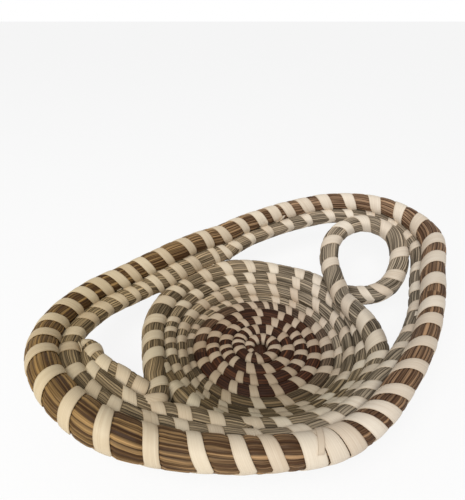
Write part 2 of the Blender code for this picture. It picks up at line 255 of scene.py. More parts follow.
# A strip on its way round a row: its steps, the shares of the way at which it crosses the top and goes
# in, and its columns, as shares of its breadth, with how far each stands off the row, in mm.
strip_steps = 22
top_share = 0.42
over_share = 0.6
strip_columns = (-0.5, -0.45, -0.18, 0.18, 0.45, 0.5)
strip_crown = (-0.2, -0.08, 0.05, 0.05, -0.08, -0.2)
narrow_reach = 0.6
strip_floor = 0.55 * MM
# Stitches closer together than this lean less, and each stitch differs a little from the next.
full_lean_room = 12.0 * MM
lean_spread = (0.75, 1.2)
width_spread = (0.9, 1.08)

# How the rows are sewn: distances of the stitches along each row, in mm, read from a photograph.
# The coil's two lengths start at their inner ends, and the rim rows at the right, going clockwise.
base_places = (
    9, 15, 22, 29, 36, 43, 52, 61, 70, 77, 88, 95, 101, 109, 117, 128, 141, 154, 168, 181, 193,
    206, 214, 221, 231, 244, 254, 265.5, 280, 291.5, 301.5, 310, 321, 331.5, 341.5, 357, 368.5, 378, 392.5,
    404.5, 414.5, 427, 442.5, 456, 475, 494, 508, 521.5, 534, 547.5, 561.5, 575.5, 591.5,
    607, 621, 636, 652,
)
wall_places = (
    10, 26, 45.5, 67, 80, 92, 100, 112, 124.5, 142, 158, 172, 187,
    208, 228, 246, 267, 281.5, 290, 303, 317, 333, 345, 358, 372.5, 385, 397.5,
    411, 430.5, 446, 463, 479, 494, 513, 535, 557, 575, 591,
    608, 629, 643, 655, 668, 682, 697, 711, 727, 743, 759, 774, 790,
    811, 830, 852, 874, 892, 914, 937, 959, 975, 990,
    1008, 1029, 1047, 1061, 1074, 1088, 1099, 1111, 1122, 1142, 1159, 1176, 1195,
    1212, 1232, 1254, 1273, 1288, 1307, 1326, 1347, 1366, 1386, 1403, 1418, 1437, 1455, 1478, 1495,
    1512, 1528,
)
# The edge row's stitches on its curl, how far the curl moves the others on, and the others.
curl_places = (5, 21)
curl_lead = 14
edge_places = (
    37, 54, 72, 94, 110, 121, 142, 163, 186, 208, 233, 250, 266, 292, 304, 322, 347, 383,
    404, 424, 446, 473, 503, 521, 540, 558, 573, 587, 604, 622, 637, 662, 678, 698, 717, 733, 750, 778,
)
moved_places = tuple(place + curl_lead for place in edge_places)
short_places = (5, 18, 31, 43.5, 56)
inner_places = (
    22, 44, 70, 92, 106, 122, 141, 165, 185, 204, 222, 243, 258, 275, 297, 314, 333, 348, 362, 375,
    385, 396, 408, 420, 435, 457, 468, 479, 497, 519, 540, 561, 583, 602, 623, 645, 665, 682, 713, 738, 761,
)
outer_places = (
    13, 28, 53, 74, 95, 109, 121.5, 172, 187, 208, 232, 256, 276, 296, 317, 334, 350, 368, 384, 398,
    412, 424, 437, 455, 476, 496, 514, 536, 557, 574, 588, 607, 626, 649, 674, 699, 723, 758, 784, 810,
)
# The dense wrap over the outer row's joint, where its lacing starts and ends.
wrap_places = (133.5, 143.3, 153.1)
end_wrap_start_angle = 272.0

# Places and the strips' breadths there, as shares.
breadths = {
    "base": ((0, 0.72), (130, 0.9), (220, 1.0)),
    "edge": ((0, 1.0), (230, 1.0), (260, 1.14), (430, 1.14), (460, 1.0)),
    "inner": ((620, 1.0), (660, 1.25)),
    "outer": (
        (0, 1.8), (30, 1.45), (60, 1.1), (90, 1.0),
        (450, 1.0), (520, 1.2), (600, 1.4), (690, 1.5), (740, 1.8),
    ),
}
# How each row is sewn: places, lean in mm, the strip's size, the share of its room that it may cover,
# and a seed for the small differences.
sewing_ways = {
    "base": (base_places, 5.0, "fine_strip", 0.48, 31),
    "wall": (wall_places, 9.0, "wall_strip", 0.49, 32),
    "edge": (curl_places + moved_places, 12.0, "edge_strip", 0.58, 33),
    "short": (short_places, 8.0, "edge_strip", 0.65, 34),
    "inner": (inner_places, 11.0, "rim_strip", 0.55, 35),
    "outer": (outer_places, 12.0, "lacing_strip", 0.68, 36),
    "wrap": (wrap_places, 8.0, "wrap_strip", 0.96, 37),
}
# The bundles: row, strands round it, finish, slot, the frame's node that it stands for, and a seed.
bundles = {
    "base_needles": ("base", 16, "needles", "pine_needle", "base_coil", 21),
    "wall_grass": ("wall", 16, "wall", "sweetgrass", "wall_coil", 22),
    "edge_grass": ("edge", 26, "grass", "sweetgrass", "bowl_edge_row", 23),
    "handle_grass": ("short", 22, "grass", "sweetgrass", "handle_row", 24),
    "inner_rim_grass": ("inner", 24, "grass", "sweetgrass", "inner_rim_row", 25),
    "outer_rim_rushes": ("outer", 20, "rush", "bulrush", "outer_rim_row", 26),
}
# How the two ends of a row close: shares of its thickness from the end on.
row_ends = {
    "base": ((0.0, 0.7, 0.95), (0.0, 0.9)),
    "wall": ((0.0, 0.9), (0.0, 0.9)),
    "edge": ((0.0, 0.8), (0.0, 0.5, 0.8, 0.95)),
    "short": ((0.0, 0.6, 0.9), (0.0, 0.6, 0.9)),
}
# The strips: how they are sewn, how far off the row they lie, in mm, how much they narrow where they go
# in, and the frame's nodes that they stand for.
strips = {
    "base_stitches": ("base", -0.15, 0.15, ()),
    "wall_stitches": ("wall", -0.15, 0.3, ()),
    "edge_stitches": ("edge", -0.15, 0.3, ()),
    "handle_stitches": ("short", -0.15, 0.3, ()),
    "inner_rim_stitches": ("inner", -0.15, 0.3, ()),
    "rim_lacing_strip": ("outer", 0.0, 0.3, ("rim_lacing",)),
    "rim_wrap_strip": ("wrap", 0.2, 0.1, ("rim_end_wrap",)),
}

# Ends of strips that stick out: row, place along it, directions round it where the end starts and
# stops, how far it moves along, its breadth and how far its tip lifts, in mm and degrees.
loose_ends = (
    ("outer", 143.0, 58.0, 172.0, 6.0, 4.2, 0.4),
    ("outer", 574.0, 8.0, 72.0, 7.0, 3.6, 1.6),
    ("inner", 9.0, 70.0, 135.0, -7.0, 5.0, 1.8),
    ("inner", 296.0, -5.0, 40.0, 3.0, 4.0, 1.2),
    ("inner", 368.0, 105.0, 160.0, 3.0, 4.0, 2.4),
    ("inner", 456.0, 5.0, 55.0, -5.0, 3.4, 2.0),
)
end_steps = 10
end_columns = (-0.5, -0.44, 0.44, 0.5)
end_narrowing = 0.35
end_lift = 0.75
end_crown = 0.12
end_map_share = 0.2

# Turns of the coil and how much of it is still dark needle there.
dark_shares = ((4.3, 1.0), (4.6, 0.8), (4.95, 0.7), (5.2, 0.3), (5.6, 0.0))

# Tones of the blades of each grass: place in the range, share of its dark colour and of its pale one.
grass_tones = ((0.0, 0.5, 0.0), (0.32, 0.8, 0.1), (0.5, 0.0, 0.5), (0.7, 0.0, 0.95), (1.0, 0.0, 1.5))
needle_tones = ((0.0, 0.6, 0.0), (0.4, 1.0, 0.15), (0.65, 0.0, 0.7), (1.0, 0.0, 1.9))
rush_tones = ((0.0, 0.5, 0.0), (0.4, 0.8, 0.1), (0.55, 0.0, 0.46), (0.74, 0.0, 0.88), (1.0, 0.0, 1.28))
# Shares of their dark colour in the painted crease shade between blades, and how rough the blades are.
grass_crease_shade, needle_crease_shade, rush_crease_shade = 0.3, 0.25, 0.4
grass_rough, needle_rough, rush_rough = 0.55, 0.55, 0.5
# Tints of each fibre at the left, at the back and at the front of the hollow.
# At the left the tint is partly the fibre's own warmer tone and partly painted shade; at the back it is
# painted light, and in the hollow painted shade.
grass_tints_and_light = ((0.98, 0.84, 0.56), (1.3, 1.25, 1.2), (0.62, 0.56, 0.42))
needle_tints_and_light = ((1.0, 1.0, 0.8), (1.0, 1.0, 1.0), (0.9, 0.85, 0.75))
rush_tints_and_light = ((1.0, 1.0, 0.64), (1.45, 1.52, 1.65), (1.0, 1.0, 1.0))
palmetto_tints_and_light = ((0.85, 0.785, 0.61), (1.2, 1.21, 1.22), (0.76, 0.77, 0.72))
# Where those places lie, from no change to full change, in metres from the middle of the base.
left_tone_and_shade_span = (0.05, -0.12)
back_light_span = (0.01, 0.1)
front_shade_span = (0.01, -0.05)
hollow_shade_span = (0.1, 0.075)
# Painted shade darkens the leaf in the base.
base_shade_span = (0.072, 0.042)
base_shade_tint = (0.72, 0.66, 0.62)

# Where a Mix node keeps the sockets of its share and its colours.
mix_share, mix_first, mix_second, mix_result = 0, 6, 7, 2
# Seeds that set the tones of one finish apart from the next.
grass_seed, wall_seed, needle_seed, rush_seed, palmetto_seed = 2.0, 5.0, 9.0, 13.0, 4.0
# Grain of the blades and the leaf: how fast it changes across and along them, and its detail.
blade_tone_grain = (7.31, 0.14, 2.0)
blade_streak_grain = (3.6, 0.15, 3.0)
leaf_grain = (17.0, 1.3, 3.0)
grain_range = (0.3, 0.7)
streak_share = 0.55
streak_seed = 3.0
# The creases between blades with their painted shade, and the painted shade in the grooves between rows.
crease_power = 3.2
crease_shade_share = 0.88
crease_height = 0.8
blade_groove_shade = 0.75
leaf_groove_shade = 0.6
groove_shade_colour = (0.01, 0.006, 0.003)
# How far the roughness of a blade's streaks lies from its mean, and the leaf's least and most roughness.
blade_rough_range = (-0.1, 0.14)
leaf_rough_range = (0.45, 0.62)
# Shine, and the strength and height of the relief of the fibres.
blade_shine, blade_relief, blade_relief_height = 0.12, 0.55, 0.25 * MM
leaf_shine, leaf_relief, leaf_relief_height = 0.25, 0.35, 0.15 * MM
# The leaf's tones, its blots and its darker edges.
leaf_tone_share = 0.5
leaf_pale_place = 0.75
blot_scale = 55.0
blot_detail = 3.0
blot_range = (0.6, 0.8)
blot_share = 0.35
blot_tint = (0.72, 0.62, 0.5)
edge_dark_power = 9.0
edge_dark_share = 0.45
edge_dark_tint = (0.6, 0.5, 0.38)

# The stage and the view, in metres, watts and degrees. The picture's width and the lens are in pixels,
# the film in mm.
floor_reach = 4.0
floor_grey = (0.9, 0.9, 0.9)
floor_rough = 0.9
white = (1.0, 1.0, 1.0)
floor_glow = 0.85
sky_light = 0.4
lamp_place = (-0.3, -0.75, 0.9)
lamp_width = 0.8
lamp_power = 10.8
view_place = (-20.3 * MM, -230.4 * MM, 233.3 * MM)
view_tilt = 58.3
picture_width = 465.0
lens_in_pixels = 420.0
film_width = 36.0

made_rows = {}
made_sewings = {}
made_looks = {}


def smooth_step(share):
    """Ease from 0 to 1 with level ends."""
    share = min(max(share, 0.0), 1.0)
    return share * share * (3.0 - 2.0 * share)


def table_value(table, place):
    """Read the second column of a table, eased between its lines."""
    if place <= table[0][0]:
        return table[0][1]
    for low, high in zip(table, table[1:]):
        if place <= high[0]:
            share = smooth_step((place - low[0]) / (high[0] - low[0]))
            return low[1] + (high[1] - low[1]) * share
    return table[-1][1]


def smooth_between(low, high, slope_in, slope_out, share):
    """Smooth way from one value or point to the next, with given slopes at both."""
    cube, square = share ** 3, share ** 2
    value = (2.0 * cube - 3.0 * square + 1.0) * low
    value += (cube - 2.0 * square + share) * slope_in
    value += (3.0 * square - 2.0 * cube) * high
    value += (cube - square) * slope_out
    return value


def round_value(table, angle, column):
    """Read a column of a table that closes on itself after 360 degrees, as a smooth curve."""
    count = len(table)
    angle %= 360.0
    line = max(index for index in range(count) if table[index][0] <= angle)
    before, low, high, after = (table[(line + shift) % count] for shift in (-1, 0, 1, 2))
    share = (angle - low[0]) / ((high[0] - low[0]) % 360.0)
    slope_in = 0.5 * (high[column] - before[column])
    slope_out = 0.5 * (after[column] - low[column])
    return smooth_between(low[column], high[column], slope_in, slope_out, share)


def polar(angle, radius, height):
    """Point at an angle round the centre of the base."""
    turn = math.radians(angle)
    return Vector((radius * math.cos(turn), radius * math.sin(turn), height))


def angle_at(turn):
    """Angle round the tray at a turn of the coil, which winds clockwise."""
    return edge_start_angle - 360.0 * (turn - edge_turns)


def turn_at(angle):
    """Turn of the coil, past the start of the edge row, at an angle round the tray."""
    return edge_turns + ((edge_start_angle - angle) % 360.0) / 360.0


def coil_width(turn):
    """Thickness of the one long coil, which tapers from its tip and swells at the edge row."""
    grown = smooth_step(turn)
    swollen = smooth_step((turn - edge_turns) / edge_taper_turns)
    width = coil_tip_width + (row_width - coil_tip_width) * grown
    return width + (edge_width - row_width) * swollen


def coil_section(turn):
    """Radius and height of the coil's centre, each row laid against the one a turn before."""
    width = coil_width(turn)
    if turn < 1.0:
        inside = knot_width / 2.0 + row_gap + (coil_tip_width + row_gap) * turn
        return inside + width / 2.0, width * (0.5 - flat_share)
    radius, height = coil_section(turn - 1.0)
    spacing = (width + coil_width(turn - 1.0)) / 2.0 + row_gap
    if turn - edge_turns <= wall_leans[0][0]:
        return radius + spacing, width * (0.5 - flat_share)
    lean = math.radians(table_value(wall_leans, turn - edge_turns))
    return radius + spacing * math.cos(lean), height + spacing * math.sin(lean)


def coil_point(turn):
    """Centre of the coil at a turn."""
    return polar(angle_at(turn), *coil_section(turn))


def bowl_edge(angle):
    """Radius and height of the bowl's edge as one closed line, smoothed where the coil steps out."""
    turn = turn_at(angle)
    radius, height = coil_section(turn)
    share = (turn - edge_turns) / rim_seam_share
    if share < 1.0:
        outer_radius, outer_height = coil_section(turn + 1.0)
        radius = outer_radius + (radius - outer_radius) * smooth_step(share)
        height = outer_height + (height - outer_height) * smooth_step(share)
    return radius, height


def inner_width(angle):
    """Thickness of the inner rim row."""
    return inner_rim_width * round_value(rim_shares, angle, inner_column)


def outer_width(angle):
    """Thickness of the outer rim row."""
    return outer_rim_width * round_value(rim_shares, angle, outer_column)


def rim_lean(angle):
    """Direction from the row inside to the inner rim row, as a share out and a share up."""
    lean = math.radians(round_value(rim_shares, angle, lean_column))
    return math.cos(lean), math.sin(lean)


def rim_stand_off(angle):
    """How far the inner rim row stands off from the bowl's edge."""
    return max(round_value(rim_shares, angle, reach_column), 0.0) * rim_reach


def inner_rim_point(angle):
    """Centre of the inner rim row, touching the bowl's edge or standing off from it."""
    out, up = rim_lean(angle)
    spacing = (edge_width + inner_width(angle)) / 2.0 + row_gap + rim_stand_off(angle)
    radius, height = bowl_edge(angle)
    return polar(angle, radius + spacing * out, height + spacing * up)


def beside_inner_rim(angle, spacing, out, up):
    """Point square off the inner rim row, at a spacing outwards and upwards."""
    step = 360.0 / points_per_rim
    along = inner_rim_point(angle + step) - inner_rim_point(angle - step)
    outward = Vector((along.y, -along.x, 0.0)).normalized()
    return inner_rim_point(angle) + (outward * out + Vector((0.0, 0.0, up))) * spacing


def outer_rim_point(angle):
    """Centre of the outer rim row, off the inner row with room for the strip between."""
    lean = math.radians(round_value(rim_shares, angle, outer_lean_column))
    reach = outer_width(angle) / 2.0 + lacing_gap + lacing_thickness
    spacing = reach / math.cos(math.pi / lacing_corners) + lacing_gap + inner_width(angle) / 2.0
    return beside_inner_rim(angle, spacing, math.cos(lean), math.sin(lean))


def smooth_route(points, count):
    """Smooth curve through points, read at an even number of places in each span."""
    route = []
    for index in range(1, len(points) - 2):
        before, low, high, after = points[index - 1:index + 3]
        first = (low - before).length ** 0.5
        middle = (high - low).length ** 0.5
        last = (after - high).length ** 0.5
        slope_in = (low - before) / first - (high - before) / (first + middle)
        slope_in = (slope_in + (high - low) / middle) * middle
        slope_out = (high - low) / middle - (after - low) / (middle + last)
        slope_out = (slope_out + (after - high) / last) * middle
        for place in range(count):
            route.append(smooth_between(low, high, slope_in, slope_out, place / count))
    route.append(points[-2])
    return route


def ring_knots():
    """Points of the ring, in the room between the bowl's edge and the inner rim row."""
    base = polar(ring_angle, *bowl_edge(ring_angle))
    rim = inner_rim_point(ring_angle)
    touch = (edge_width + inner_width(ring_angle)) / 2.0 + row_gap
    across = (rim - base) - (rim - base).normalized() * touch
    right = Vector((across.y, -across.x, 0.0)).normalized() * across.length
    knots = []
    for out, side, up, lift in ring_shares:
        rise = up * across.length + lift * edge_width
        knots.append(base + across * out + right * side + Vector((0.0, 0.0, rise)))
    return knots


def return_knots():
    """Points where the strand comes down from the ring onto the bowl's wall."""
    knots = []
    for angle, lean in return_leans:
        radius, height = coil_section(turn_at(angle) - 1.0)
        spacing = (edge_width + row_width) / 2.0 + row_gap
        way = math.radians(lean)
        knots.append(polar(angle, radius + spacing * math.cos(way), height + spacing * math.sin(way)))
    return knots


def tail_thickness(angle, tip_share):
    """The tail of the edge row, which thins towards the left grip to a share of its thickness."""
    share = smooth_step((tail_taper_angle - angle) / (tail_taper_angle - tail_end_angle))
    return edge_width * (1.0 - (1.0 - tip_share) * share)


def tail_point(angle):
    """The tail lies along the inside of the inner rim row, pressed in beside the short row."""
    out, up = rim_lean(angle)
    press = tail_press * smooth_step((angle - tail_end_angle) / tail_press_span)
    spacing = (tail_thickness(angle, tail_body_share) + inner_width(angle)) / 2.0 + row_gap - press
    return beside_inner_rim(angle, -spacing, out, up)


def edge_row_route():
    """Route of the edge row: round the bowl, through the ring, round again and off along the rim."""
    points, widths = [], []
    for place in edge_curl:
        points.append(Vector(place) * MM)
        widths.append(edge_width * curl_share)
    turn = edge_turns + edge_step * len(edge_curl)
    while angle_at(turn) > leave_angle:
        points.append(coil_point(turn))
        widths.append(coil_width(turn))
        turn += edge_step
    rejoin = turn_at(rejoin_angle)
    knots = points[-2:] + ring_knots() + return_knots()
    knots += [coil_point(rejoin), coil_point(rejoin + edge_step)]
    points += knots[2:-1]
    widths += [edge_width] * (len(knots) - 3)
    turn = rejoin + edge_step
    while angle_at(turn) + 360.0 > tail_angle:
        points.append(coil_point(turn))
        widths.append(coil_width(turn))
        turn += edge_step
    angle = tail_angle
    while angle > tail_tuck_angle:
        points.append(tail_point(angle))
        widths.append(edge_width * table_value(tail_looks, angle))
        angle -= tail_step
    points[-1] = points[-1] - Vector((0.0, 0.0, tail_drop))
    return points, widths


def squared(ways, along):
    """Directions turned square to others, each with length 1."""
    ways = ways - along * np.sum(ways * along, axis=-1, keepdims=True)
    return ways / np.maximum(np.linalg.norm(ways, axis=-1, keepdims=True), least_length)


class Row:
    """A row of the tray, read at any distance along it: centre, directions beside and above, thickness."""

    def __init__(self, points, widths, neighbours, neighbour_widths, section, sides=1.0, closed=False):
        places = np.array([tuple(point) for point in points])
        beside = np.array([tuple(point) for point in neighbours])
        widths = np.array(widths, dtype=float)
        if closed:
            tangents = np.roll(places, -1, axis=0) - np.roll(places, 1, axis=0)
        else:
            tangents = np.gradient(places, axis=0)
        tangents /= np.linalg.norm(tangents, axis=1)[:, None]
        level = np.stack([tangents[:, 1], -tangents[:, 0], np.zeros(len(places))], axis=1)
        level /= np.linalg.norm(level, axis=1)[:, None]
        to_side = beside - places
        distance = np.linalg.norm(to_side, axis=1)
        room = distance - (widths + np.array(neighbour_widths)) / 2.0
        sides = np.broadcast_to(np.array(sides, dtype=float), distance.shape)
        to_side = squared(to_side * (sides / distance)[:, None], tangents)
        together = np.clip(1.0 - (room - together_room) / parting_room, 0.0, 1.0)[:, None]
        right = squared(to_side * together + level * (1.0 - together), tangents)
        near = np.clip(1.0 - (room - bite_room) / bite_room, 0.0, 1.0)
        bite = np.array(neighbour_widths) * bite_share * near
        bites = [bite * np.clip(sides, 0.0, 1.0), bite * np.clip(-sides, 0.0, 1.0)]
        table = np.column_stack([places, tangents, right, widths, *bites])
        if closed:
            table = np.concatenate([table, table[:1]])
        steps = np.linalg.norm(np.diff(table[:, place_columns], axis=0), axis=1)
        self.along = np.concatenate([[0.0], np.cumsum(steps)])
        self.table = table
        self.length = self.along[-1]
        self.closed = closed
        self.swell, self.power, self.grooves = section

    def read(self, places):
        """Centres, right and up directions, radii and bites at distances along the row."""
        places = np.asarray(places, dtype=float)
        places = places % self.length if self.closed else np.clip(places, 0.0, self.length)
        values = np.stack([np.interp(places, self.along, column) for column in self.table.T], axis=-1)
        way = values[..., way_columns]
        way = way / np.linalg.norm(way, axis=-1, keepdims=True)
        right = squared(values[..., right_columns], way)
        up = np.cross(right, way)
        radius = values[..., width_column] / 2.0
        right = right * (1.0 + self.swell / radius)[..., None]
        return values[..., place_columns], right, up, radius, values[..., bite_columns]

    def fullness(self, around):
        """How far the squared-off section reaches at a direction, as a share of its radius."""
        beside = np.abs(np.cos(around)) ** self.power
        above = np.abs(np.sin(around)) ** self.power
        return (beside + above) ** (-1.0 / self.power)

    def nearest(self, point):
        """Which of the row's points lies nearest to a given one."""
        gaps = self.table[:, place_columns] - np.array(point)
        return int(np.argmin(np.sum(gaps ** 2, axis=1)))


def above_floor(points, lowest):
    """Press points that would sink into the floor up to a lowest height, softly."""
    height = (points[..., 2] - lowest) / floor_ease
    points[..., 2] = lowest + floor_ease * np.logaddexp(0.0, height)


def coil_turns(first_turn, last_turn):
    """The turns at which a length of the coil has its points."""
    return np.linspace(first_turn, last_turn, int((last_turn - first_turn) * samples_per_turn))


def coil_row(first_turn, last_turn):
    """A length of the one long coil, with the row a turn before it as its neighbour."""
    turns = coil_turns(first_turn, last_turn)
    points = [coil_point(turn) for turn in turns]
    widths = [coil_width(turn) for turn in turns]
    neighbours, neighbour_widths = [], []
    for turn in turns:
        if turn < 1.0:
            neighbours.append(Vector((0.0, 0.0, coil_section(turn)[1])))
            neighbour_widths.append(knot_width)
        else:
            neighbours.append(coil_point(turn - 1.0))
            neighbour_widths.append(coil_width(turn - 1.0))
    for index, turn in enumerate(turns):
        swell = table_value(wall_swells, turn) * MM
        away = (points[index] - neighbours[index]).normalized()
        points[index] = points[index] + away * swell / 2.0
        widths[index] += swell
    return Row(points, widths, neighbours, neighbour_widths, row_sections["coil"])


def edge_row():
    """The edge row in the bowl and the ring, and its tail, which is sewn to the inner rim row."""
    points, widths = edge_row_route()
    before, after = 2.0 * points[0] - points[1], 2.0 * points[-1] - points[-2]
    fine = smooth_route([before] + points + [after], points_per_span)
    fine_widths = np.interp(np.arange(len(fine)) / points_per_span, np.arange(len(widths)), widths)
    neighbours, neighbour_widths, sides = [], [], []
    tail_start = len(fine) - points_per_span * int((tail_angle - tail_tuck_angle) / tail_step)
    for index, point in enumerate(fine):
        angle = math.degrees(math.atan2(point.y, point.x))
        if index < tail_start:
            neighbours.append(polar(angle, *coil_section(turn_at(angle) - 1.0)))
            neighbour_widths.append(row_width)
            sides.append(1.0)
        else:
            neighbours.append(inner_rim_point(angle))
            neighbour_widths.append(inner_width(angle))
            sides.append(-1.0)
    return Row(fine, fine_widths, neighbours, neighbour_widths, row_sections["edge"], sides)


def short_row():
    """The short row inside the tail at the left grip."""
    points, widths, neighbours, neighbour_widths = [], [], [], []
    for angle in np.linspace(grip_start_angle, tail_end_angle - 1.0, samples_per_turn // 2):
        thinned = (handle_row_taper_angle - angle) / (handle_row_taper_angle - handle_row_start_angle)
        width = handle_row_width * (1.0 - grip_thinning * smooth_step(thinned))
        out, up = rim_lean(angle)
        tail_room = tail_thickness(angle, tail_tip_share)
        start = tail_end_angle - handle_row_start_angle
        tail = (tail_room + grip_gap) * smooth_step((angle - handle_row_start_angle) / start)
        spacing = (inner_width(angle) + width) / 2.0 + row_gap + tail - grip_press
        points.append(beside_inner_rim(angle, -spacing, out, up))
        widths.append(width)
        beside = (inner_width(angle) + tail) / 2.0 + row_gap
        neighbours.append(beside_inner_rim(angle, -beside, out, up))
        neighbour_widths.append(max(tail, tail_room))
    hook = [points[-hook_lead], points[-1]] + [Vector(place) * MM for place in grip_hook]
    hook.append(2.0 * hook[-1] - hook[-2])
    for point in smooth_route(hook, points_per_span)[1:]:
        points.append(point)
        widths.append(widths[-1])
        neighbours.append(point + (neighbours[-1] - points[-2]))
        neighbour_widths.append(neighbour_widths[-1])
    return Row(points, widths, neighbours, neighbour_widths, row_sections["short"], -1.0)


def rim_row(outer):
    """One of the two closed rows of the rim, running clockwise like the coil."""
    points, widths, neighbours, neighbour_widths = [], [], [], []
    for index in range(points_per_rim_row):
        angle = 360.0 - 360.0 * index / points_per_rim_row
        if outer:
            points.append(outer_rim_point(angle))
            widths.append(outer_width(angle))
            neighbours.append(inner_rim_point(angle))
            neighbour_widths.append(inner_width(angle))
        else:
            points.append(inner_rim_point(angle))
            widths.append(inner_width(angle))
            out, up = rim_lean(angle)
            beside = (edge_width + inner_width(angle)) / 2.0 + row_gap
            reach = 0.0 if tail_end_angle < angle < tail_angle else rim_stand_off(angle)
            neighbours.append(beside_inner_rim(angle, -beside - reach, out, up))
            neighbour_widths.append(edge_width)
    section = row_sections["outer" if outer else "inner"]
    return Row(points, widths, neighbours, neighbour_widths, section, closed=True)


def wander(random, count, strands, waves):
    """Smooth random curves along a row, one for each strand, between about -1 and 1."""
    places = np.linspace(0.0, math.tau, count)[:, None]
    curves = np.zeros((count, strands))
    for share in wave_shares:
        phases = random.uniform(0.0, math.tau, strands)
        turns = np.round(waves * share * random.uniform(*wave_spread, strands))
        curves += np.sin(places * turns + phases) / share ** 0.5
    return curves / 2.0


def sheet_mesh(places, across, lengthwise, depth):
    """A grid of faces on lines of places, mapped across and along the fibres, with painted groove shade."""
    lines, columns = places.shape[:2]
    shape = bmesh.new()
    fibre_map = shape.loops.layers.uv.new("fibres")
    groove = shape.verts.layers.float.new("groove")
    bmesh.ops.create_grid(shape, x_segments=columns - 1, y_segments=lines - 1, size=1.0)
    stations = {}
    for vert in shape.verts:
        column = round((vert.co.x + 1.0) / 2.0 * (columns - 1))
        line = round((vert.co.y + 1.0) / 2.0 * (lines - 1))
        stations[vert] = (line, column)
        vert.co = places[line, column]
        vert[groove] = depth[line, column]
    for face in shape.faces:
        for loop in face.loops:
            line, column = stations[loop.vert]
            loop[fibre_map].uv = (across[column], lengthwise[line])
    return shape


def finished_piece(name, shape, look, nodes):
    """Turn a worked shape into a piece of the tray that stands for its frame nodes."""
    mesh = bpy.data.meshes.new(name)
    for face in shape.faces:
        face.smooth = True
    shape.to_mesh(mesh)
    shape.free()
    mesh.materials.append(look)
    piece = bpy.data.objects.new(name, mesh)
    bpy.context.scene.collection.objects.link(piece)
    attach(piece, "root")
    if nodes:
        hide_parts(*nodes)
    return piece


def way_back(share):
    """How far a strip is on its way from where it goes in to the next stitch, at a share of its loop."""
    return np.clip((share - over_share) / (1.0 - over_share), 0.0, 1.0)


def round_off(value, whole):
    """Shortest way from 0 to a value on a closed line, forwards or backwards."""
    return (value + whole / 2.0) % whole - whole / 2.0


class Sewing:
    """The stitches of a row: where each crosses its top, how far it leans back and how wide it is."""

    def __init__(self, row, places, lean, width, cover, seed):
        random = np.random.default_rng(seed)
        self.row = row
        self.places = np.array(places)
        gaps = np.diff(self.places)
        room = np.minimum(np.append(gaps, gaps[-1]), np.insert(gaps, 0, gaps[0]))
        leans = lean * random.uniform(*lean_spread, len(places))
        self.leans = leans * np.minimum(room / full_lean_room, 1.0)
        self.widths = np.minimum(width, cover * room) * random.uniform(*width_spread, len(places))

    def middle(self, loop, share):
        """Distance along the row of a strip's middle line, at a share of its loop round the row."""
        start = self.places[loop] + self.leans[loop] * top_share
        over = start - self.leans[loop]
        following = self.places[loop + 1] + self.leans[loop + 1] * top_share
        across = np.clip(share / over_share, 0.0, 1.0)
        back = way_back(share)
        return start + (over - start) * across + (following - over) * back * back * (3.0 - 2.0 * back)

    def pinch(self, along, around):
        """How tightly the row is pulled in at a place: 1 below a strip, 0 well beside it."""
        share = around / math.tau % 1.0
        nearest = np.full(share.shape, np.inf)
        for loop in range(len(self.places) - 1):
            away = np.abs(along - self.middle(loop, share))
            if self.row.closed:
                away = np.abs(round_off(away, self.row.length))
            nearest = np.minimum(nearest, away - self.widths[loop] / 2.0)
        beside = np.clip(nearest / pinch_fade, 0.0, 1.0)
        return 1.0 - beside * beside * (3.0 - 2.0 * beside)


def groove_shade_depth(around, sides):
    """Share of painted shade in the groove between two rows: 1 at the side of a row, 0 on its top."""
    depth = np.zeros(around.shape)
    for middle, share in zip((0.0, math.pi), sides):
        off = np.abs(round_off(around - middle, math.tau))
        depth = np.maximum(depth, share * np.exp(-(off / groove_shade_reach) ** 2))
    return depth


def bundle_shape(row, strands, random, sewings, ends):
    """A bundle of blades: a tube of rounded strands that wander, pinched under each stitch."""
    count = int(row.length / grass_step)
    along = np.linspace(0.0, row.length, count)
    centre, right, up, radius, _ = row.read(along)
    waves = row.length / wander_length
    drift = wander(random, count, strands, waves) * crease_drift
    swell = wander(random, count, strands, waves * swell_waves)
    drift[-1], swell[-1] = drift[0], swell[0]
    creases = (np.arange(strands)[None, :] + drift) / strands * math.tau
    following = np.concatenate([creases[:, 1:], creases[:, :1] + math.tau], axis=1)
    twist = math.tau * round(row.length / twist_length) * along / row.length
    columns = strands * columns_per_strand + 1
    strand = np.arange(columns) // columns_per_strand % strands
    share = (np.arange(columns) % columns_per_strand) / columns_per_strand
    lap = np.where(np.arange(columns) < columns - 1, 0.0, math.tau)
    around = -(creases[:, strand] * (1.0 - share) + following[:, strand] * share + lap + twist[:, None])
    crown = np.sin(math.pi * share)
    level = crown_reach - math.pi / strands * crease_share * (1.0 - crown)
    level = level + swell_share * swell[:, strand] * crown
    pinch = np.zeros(around.shape)
    for sewing in sewings:
        pinch = np.maximum(pinch, sewing.pinch(along[:, None], around))
    reach = radius[:, None] * row.fullness(around) * level * (loose_reach - pinch_share * pinch)
    away = right[:, None] * np.cos(around)[..., None] + up[:, None] * np.sin(around)[..., None]
    places = centre[:, None] + away * reach[..., None]
    if not row.closed:
        for first, step, shares in zip((0, count - 1), (1, -1), ends):
            for index, share in enumerate(shares):
                line = first + step * index
                places[line] = centre[line] + (places[line] - centre[line]) * share
    above_floor(places, grass_floor)
    across = np.arange(columns) / columns_per_strand
    shape = sheet_mesh(places, across, along / map_length, groove_shade_depth(around, row.grooves))
    bmesh.ops.remove_doubles(shape, verts=shape.verts, dist=merge_distance)
    bmesh.ops.recalc_face_normals(shape, faces=shape.faces)
    return shape


def reach_round(around, radius, bites):
    """How far out a strip runs round a row, drawn tight from the row to where it goes in."""
    reach = radius.copy()
    for bite, middle in ((bites[..., 0], 0.0), (bites[..., 1], math.pi)):
        off = np.abs(round_off(around - middle, math.tau))
        opening = np.arccos(radius / (radius + bite))
        reach = np.where(off < opening, radius / np.cos(opening - off), reach)
    return reach


